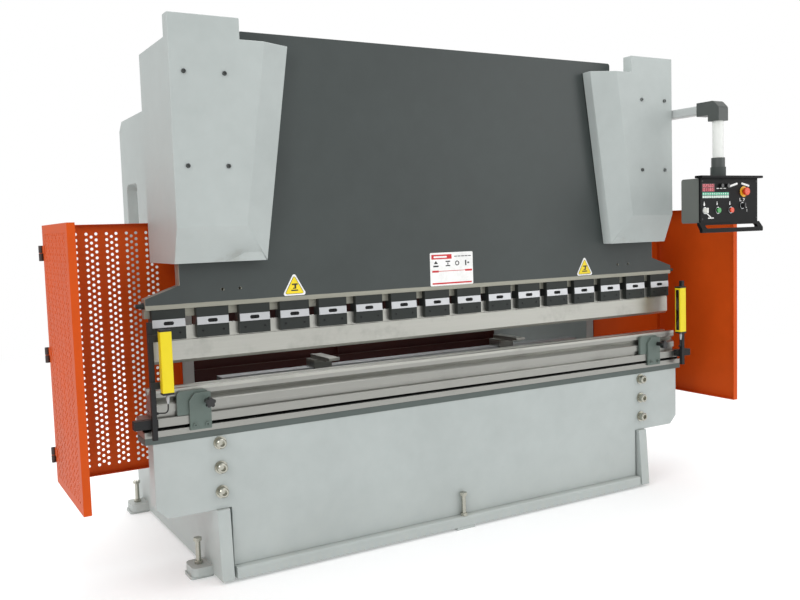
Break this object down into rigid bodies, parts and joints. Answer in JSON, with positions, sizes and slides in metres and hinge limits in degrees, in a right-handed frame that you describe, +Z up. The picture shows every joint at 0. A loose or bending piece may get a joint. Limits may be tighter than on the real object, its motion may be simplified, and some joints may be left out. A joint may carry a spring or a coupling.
{
  "type": "press brake",
  "caption": "Hydraulic press brake: C-frames, tall ram with clamped punch over a multi-V die, cylinder covers, perforated side guards, light bars and a swinging pendant.",
  "frame": {"origin": "on the floor, under the middle of the whole machine", "axes": "+X along the bending line to the operator's right, -Y towards the operator, +Z up"},
  "size_m": [3.914, 1.978, 2.527],
  "materials": {
    "machine_grey": "satin light grey machine paint",
    "ram_grey": "satin dark grey machine paint",
    "ground_steel": "ground tool steel",
    "black_steel": "blackened steel",
    "wedge_steel": "bright ground wedge",
    "screw_steel": "zinc plated",
    "guard_orange": "orange powder coat",
    "guard_dark": "dark red powder coat",
    "clamp_black": "blackened socket screws",
    "curtain_yellow": "yellow powder coat",
    "post_black": "black powder coat",
    "rail_grey": "dark grey paint",
    "bracket_green": "grey-green hammer paint",
    "knob_black": "moulded phenolic",
    "pendant_grey": "grey box with black front",
    "arm_steel": "grey painted tube",
    "button_red": "red button",
    "button_green": "green button",
    "selector_white": "pale selector",
    "selector_black": "black selector",
    "cable_rubber": "black jacket",
    "tank_grey": "satin machine paint",
    "unit_blue": "motor enamel",
    "cylinder_black": "semi gloss",
    "chrome_rod": "hard chromed",
    "pipe_steel": "drawn steel pipe",
    "gauge_aluminium": "anodised",
    "cabinet_grey": "powder coat"
  },
  "bodies": {
    "root": {"side_frame_left": "machine_grey", "side_frame_right": "machine_grey", "bed_front_plate": "machine_grey", "base_ledge": "machine_grey", "cross_beams": "machine_grey", "table_rail": "rail_grey", "table_plate": "ground_steel", "die_base": "ground_steel", "lower_die": "ground_steel", "levelling_feet": "machine_grey", "levelling_bolts": "screw_steel", "bed_bolts": "screw_steel", "cylinder_mounts": "machine_grey", "cylinder_barrels": "cylinder_black", "cylinder_cover_left": "machine_grey", "cylinder_cover_right": "machine_grey", "cover_screws": "screw_steel", "ram_guides": "ground_steel", "oil_tank": "tank_grey", "power_unit": "unit_blue", "hydraulic_pipes": "pipe_steel", "electrical_cabinet": "cabinet_grey", "guard_panel_left": "guard_orange", "guard_panel_right": "guard_orange", "rear_guard": "guard_dark", "light_curtain_posts": "post_black", "light_curtain_bars": "curtain_yellow", "light_curtain_cable_left": "cable_rubber", "light_curtain_cable_right": "cable_rubber", "pendant_bracket": "machine_grey", "back_gauge_rails": "rail_grey"},
    "ram": {"ram_plate": "ram_grey", "punch": "ground_steel", "clamp_bodies": "black_steel", "clamp_wedges": "wedge_steel", "clamp_plates": "black_steel", "clamp_screws": "clamp_black", "piston_rods": "chrome_rod", "ram_end_pins": "black_steel", "crank_brackets": "ram_grey"},
    "torsion_shaft": {"torsion_shaft": "ground_steel"},
    "back_gauge": {"back_gauge_beam": "gauge_aluminium"},
    "gauge_finger_left": {"gauge_finger_left": "ground_steel"},
    "gauge_finger_right": {"gauge_finger_right": "ground_steel"},
    "guard_door_left": {"guard_door_left": "guard_orange"},
    "guard_door_right": {"guard_door_right": "guard_orange"},
    "cabinet_door": {"cabinet_door": "cabinet_grey"},
    "pendant_arm": {"pendant_arm": "arm_steel"},
    "pendant_box": {"pendant_box": "pendant_grey"},
    "e_stop": {"e_stop": "button_red"},
    "start_button": {"start_button": "button_green"},
    "stop_button": {"stop_button": "button_red"},
    "mode_selector": {"mode_selector": "selector_white"},
    "hand_selector": {"hand_selector": "selector_black"},
    "adjust_knob_left": {"adjust_knob_left": "selector_black"},
    "adjust_knob_right": {"adjust_knob_right": "selector_black"},
    "die_bracket_left": {"die_bracket_left": "bracket_green"},
    "die_bracket_right": {"die_bracket_right": "bracket_green"},
    "bracket_knob_left": {"bracket_knob_left": "knob_black"},
    "bracket_knob_right": {"bracket_knob_right": "knob_black"}
  },
  "joints": [
    {"name": "ram_stroke", "type": "slide", "parent": "root", "child": "ram", "axis": [0, 0, 1], "range_m": [-0.115, 0]},
    {"name": "torsion_shaft_turn", "type": "hinge", "parent": "root", "child": "torsion_shaft", "pos_m": [0, -0.181, 1.5], "axis": [1, 0, 0], "range_deg": [0, 37.31]},
    {"name": "back_gauge_travel", "type": "slide", "parent": "root", "child": "back_gauge", "axis": [0, 1, 0], "range_m": [-0.1, 0.35]},
    {"name": "gauge_finger_left_travel", "type": "slide", "parent": "back_gauge", "child": "gauge_finger_left", "axis": [1, 0, 0], "range_m": [-0.4, 0.45]},
    {"name": "gauge_finger_right_travel", "type": "slide", "parent": "back_gauge", "child": "gauge_finger_right", "axis": [1, 0, 0], "range_m": [-0.45, 0.4]},
    {"name": "guard_door_left_swing", "type": "hinge", "parent": "root", "child": "guard_door_left", "pos_m": [-1.948, -0.037, 1.065], "axis": [0, 0, -1], "range_deg": [0, 90]},
    {"name": "guard_door_right_swing", "type": "hinge", "parent": "root", "child": "guard_door_right", "pos_m": [1.948, -0.037, 1.065], "axis": [0, 0, 1], "range_deg": [0, 90]},
    {"name": "cabinet_door_swing", "type": "hinge", "parent": "root", "child": "cabinet_door", "pos_m": [1.629, 0.959, 1.4], "axis": [0, 0, 1], "range_deg": [0, 110]},
    {"name": "pendant_arm_swing", "type": "hinge", "parent": "root", "child": "pendant_arm", "pos_m": [1.52, -0.051, 2.21], "axis": [0, 0, 1], "range_deg": [0, 60]},
    {"name": "pendant_turn", "type": "hinge", "parent": "pendant_arm", "child": "pendant_box", "pos_m": [1.52, -0.891, 1.88], "axis": [0, 0, 1], "range_deg": [-60, 60]},
    {"name": "e_stop_press", "type": "slide", "parent": "pendant_box", "child": "e_stop", "axis": [0, 1, 0], "range_m": [0, 0.006], "stiffness_N_per_m": 1500},
    {"name": "start_press", "type": "slide", "parent": "pendant_box", "child": "start_button", "axis": [0, 1, 0], "range_m": [0, 0.004], "stiffness_N_per_m": 900},
    {"name": "stop_press", "type": "slide", "parent": "pendant_box", "child": "stop_button", "axis": [0, 1, 0], "range_m": [0, 0.004], "stiffness_N_per_m": 900},
    {"name": "mode_selector_turn", "type": "hinge", "parent": "pendant_box", "child": "mode_selector", "pos_m": [1.331, -0.961, 1.638], "axis": [0, 1, 0], "range_deg": [-45, 45]},
    {"name": "hand_selector_turn", "type": "hinge", "parent": "pendant_box", "child": "hand_selector", "pos_m": [1.635, -0.961, 1.662], "axis": [0, 1, 0], "range_deg": [0, 60]},
    {"name": "adjust_knob_left_turn", "type": "hinge", "parent": "pendant_box", "child": "adjust_knob_left", "pos_m": [1.457, -0.961, 1.773], "axis": [0, 1, 0], "range_deg": [-150, 150]},
    {"name": "adjust_knob_right_turn", "type": "hinge", "parent": "pendant_box", "child": "adjust_knob_right", "pos_m": [1.505, -0.961, 1.773], "axis": [0, 1, 0], "range_deg": [-150, 150]},
    {"name": "die_bracket_left_slide", "type": "slide", "parent": "root", "child": "die_bracket_left", "axis": [1, 0, 0], "range_m": [0, 0.9]},
    {"name": "die_bracket_right_slide", "type": "slide", "parent": "root", "child": "die_bracket_right", "axis": [1, 0, 0], "range_m": [-0.9, 0]},
    {"name": "bracket_knob_left_turn", "type": "hinge", "parent": "die_bracket_left", "child": "bracket_knob_left", "pos_m": [-1.361, -0.527, 0.852], "axis": [0, 1, 0], "continuous": true},
    {"name": "bracket_knob_right_turn", "type": "hinge", "parent": "die_bracket_right", "child": "bracket_knob_right", "pos_m": [1.435, -0.527, 0.852], "axis": [0, 1, 0], "continuous": true}
  ],
  "couplings": [
    {"joint": "torsion_shaft_turn", "follows": "ram_stroke", "rad_per_m": -5.6547}
  ]
}
